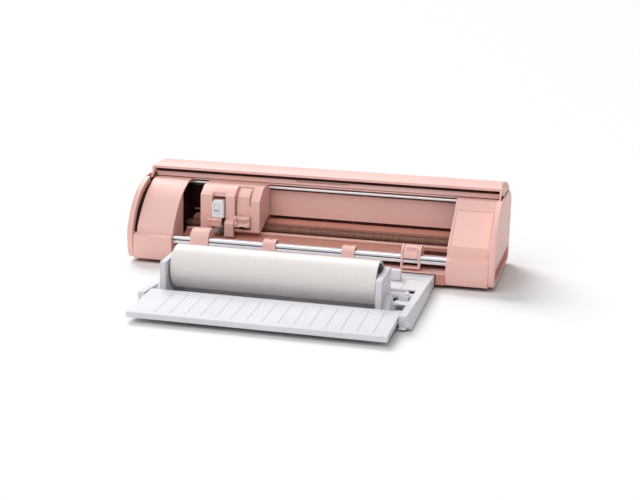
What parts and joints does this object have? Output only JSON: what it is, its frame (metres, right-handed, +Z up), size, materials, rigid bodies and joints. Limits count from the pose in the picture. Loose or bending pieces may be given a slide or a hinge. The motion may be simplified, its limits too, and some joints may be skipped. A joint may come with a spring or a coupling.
{
  "type": "vinyl cutter",
  "caption": "Desktop vinyl cutter with a roll-back lid, a tool carriage on a rail, pinch wheels, and a pull-out feeder tray holding a roll of vinyl.",
  "frame": {"origin": "middle of the whole footprint, at desk level", "axes": "+X to the machine's right as seen from the front, +Y to the back, +Z up; the feeder tray points to -Y"},
  "size_m": [0.57, 0.498, 0.1412],
  "materials": {
    "pink": "satin injection moulded plastic",
    "pink_deep": "matte moulded plastic",
    "white": "satin moulded plastic",
    "silver": "brushed extrusion",
    "dark": "matte dark paint",
    "black_plastic": "matte",
    "grit": "rough grit coating",
    "steel": "brushed",
    "rubber": "matte",
    "board": "solder mask green",
    "vinyl": "smooth film"
  },
  "bodies": {
    "chassis": {"base_tray": "pink_deep", "deck": "pink", "foot_front_left": "rubber", "foot_front_right": "rubber", "foot_rear_left": "rubber", "foot_rear_right": "rubber", "right_end_panel": "pink", "left_end_panel": "pink", "left_cover": "pink", "right_cover": "pink", "control_panel": "pink", "top_shell": "pink", "rear_cover": "pink", "apron": "pink_deep", "cutting_strip": "white", "guide_strip": "pink", "rear_guide": "pink_deep", "carriage_beam": "pink", "carriage_rail": "silver", "right_side_frame": "steel", "left_side_frame": "dark", "right_bearing": "steel", "left_bearing": "steel", "feed_belt": "rubber", "media_motor": "steel", "pinch_bar": "silver", "left_pinch_housing": "pink", "left_bar_clip": "pink", "right_bar_clip": "pink", "carriage_belt": "rubber", "carriage_motor": "steel", "idler_post": "steel", "controller_board": "board", "power_inlet": "black_plastic"},
    "lid": {"lid": "pink"},
    "carriage": {"carriage_housing": "pink", "tool_gear_cover": "pink"},
    "tool_1": {"tool_holder_1": "pink_deep", "cutting_tool": "white", "tool_gear": "steel"},
    "clamp_1": {"tool_clamp_1": "pink"},
    "tool_2": {"tool_holder_2": "pink"},
    "clamp_2": {"tool_clamp_2": "pink"},
    "drive_pulley": {"drive_pulley": "steel"},
    "idler_pulley": {"idler_pulley": "steel"},
    "grit_roller": {"grit_roller": "grit", "roller_gear": "white"},
    "motor_pinion": {"motor_pinion": "steel"},
    "feed_roller": {"feed_roller": "rubber"},
    "left_pinch_wheel": {"left_pinch_wheel": "rubber"},
    "right_pinch": {"right_pinch_housing": "pink"},
    "right_pinch_wheel": {"right_pinch_wheel": "rubber"},
    "pinch_lever": {"pinch_lever": "pink"},
    "tray": {"feeder_tray": "white", "left_roll_holder": "white"},
    "right_holder": {"right_roll_holder": "white"},
    "edge_guide": {"edge_guide": "white"},
    "vinyl_roll": {"vinyl_roll": "vinyl"},
    "flap": {"flap": "white"},
    "power_switch": {"power_switch": "black_plastic"}
  },
  "joints": [
    {"name": "lid_hinge", "type": "hinge", "parent": "chassis", "child": "lid", "pos_m": [0, 0.147, 0.024], "axis": [1, 0, 0], "range_deg": [0, 82]},
    {"name": "carriage_slide", "type": "slide", "parent": "chassis", "child": "carriage", "axis": [1, 0, 0], "range_m": [-0.028, 0.298]},
    {"name": "tool_1_slide", "type": "slide", "parent": "carriage", "child": "tool_1", "axis": [0, 0, 1], "range_m": [-0.003, 0]},
    {"name": "clamp_1_hinge", "type": "hinge", "parent": "tool_1", "child": "clamp_1", "pos_m": [-0.1577, 0.101, 0.0542], "axis": [1, 0, 0], "range_deg": [0, 35]},
    {"name": "tool_2_slide", "type": "slide", "parent": "carriage", "child": "tool_2", "axis": [0, 0, 1], "range_m": [0, 0.004]},
    {"name": "clamp_2_hinge", "type": "hinge", "parent": "tool_2", "child": "clamp_2", "pos_m": [-0.1145, 0.1104, 0.0552], "axis": [1, 0, 0], "range_deg": [0, 35]},
    {"name": "drive_pulley_spin", "type": "hinge", "parent": "chassis", "child": "drive_pulley", "pos_m": [-0.24, 0.175, 0.1097], "axis": [0, 0, 1], "continuous": true},
    {"name": "idler_pulley_spin", "type": "hinge", "parent": "chassis", "child": "idler_pulley", "pos_m": [0.259, 0.175, 0.1097], "axis": [0, 0, 1], "continuous": true},
    {"name": "grit_roller_spin", "type": "hinge", "parent": "chassis", "child": "grit_roller", "pos_m": [0, 0.144, 0.048], "axis": [1, 0, 0], "continuous": true},
    {"name": "motor_pinion_spin", "type": "hinge", "parent": "chassis", "child": "motor_pinion", "pos_m": [0.2285, 0.1625, 0.06352], "axis": [1, 0, 0], "continuous": true},
    {"name": "feed_roller_spin", "type": "hinge", "parent": "chassis", "child": "feed_roller", "pos_m": [0, 0.0785, 0.0323], "axis": [1, 0, 0], "continuous": true},
    {"name": "left_pinch_wheel_spin", "type": "hinge", "parent": "chassis", "child": "left_pinch_wheel", "pos_m": [-0.1695, 0.0785, 0.04465], "axis": [1, 0, 0], "continuous": true},
    {"name": "right_pinch_slide", "type": "slide", "parent": "chassis", "child": "right_pinch", "axis": [1, 0, 0], "range_m": [-0.06, 0.03]},
    {"name": "right_pinch_wheel_spin", "type": "hinge", "parent": "right_pinch", "child": "right_pinch_wheel", "pos_m": [0.1595, 0.0785, 0.04465], "axis": [1, 0, 0], "continuous": true},
    {"name": "pinch_lever_hinge", "type": "hinge", "parent": "right_pinch", "child": "pinch_lever", "pos_m": [0.1595, 0.0764, 0.0566], "axis": [1, 0, 0], "range_deg": [-6, 0]},
    {"name": "tray_slide", "type": "slide", "parent": "chassis", "child": "tray", "axis": [0, 1, 0], "range_m": [0, 0.034]},
    {"name": "right_holder_slide", "type": "slide", "parent": "tray", "child": "right_holder", "axis": [1, 0, 0], "range_m": [0, 0.018]},
    {"name": "edge_guide_slide", "type": "slide", "parent": "tray", "child": "edge_guide", "axis": [1, 0, 0], "range_m": [-0.2, 0.03]},
    {"name": "vinyl_roll_spin", "type": "hinge", "parent": "tray", "child": "vinyl_roll", "pos_m": [0, -0.102, 0.044], "axis": [1, 0, 0], "continuous": true},
    {"name": "flap_hinge", "type": "hinge", "parent": "tray", "child": "flap", "pos_m": [0.011, -0.161, 0.015], "axis": [1, 0, 0], "range_deg": [-90, 0]},
    {"name": "power_switch_rocker", "type": "hinge", "parent": "chassis", "child": "power_switch", "pos_m": [0.241, 0.2444, 0.031], "axis": [1, 0, 0], "range_deg": [-6, 6]}
  ],
  "couplings": [
    {"joint": "drive_pulley_spin", "follows": "carriage_slide", "rad_per_m": 142.86},
    {"joint": "idler_pulley_spin", "follows": "carriage_slide", "rad_per_m": 142.86},
    {"joint": "motor_pinion_spin", "follows": "grit_roller_spin", "ratio": -4},
    {"joint": "feed_roller_spin", "follows": "grit_roller_spin", "ratio": 1.44},
    {"joint": "left_pinch_wheel_spin", "follows": "grit_roller_spin", "ratio": -1.0286},
    {"joint": "right_pinch_wheel_spin", "follows": "grit_roller_spin", "ratio": -1.0286}
  ]
}
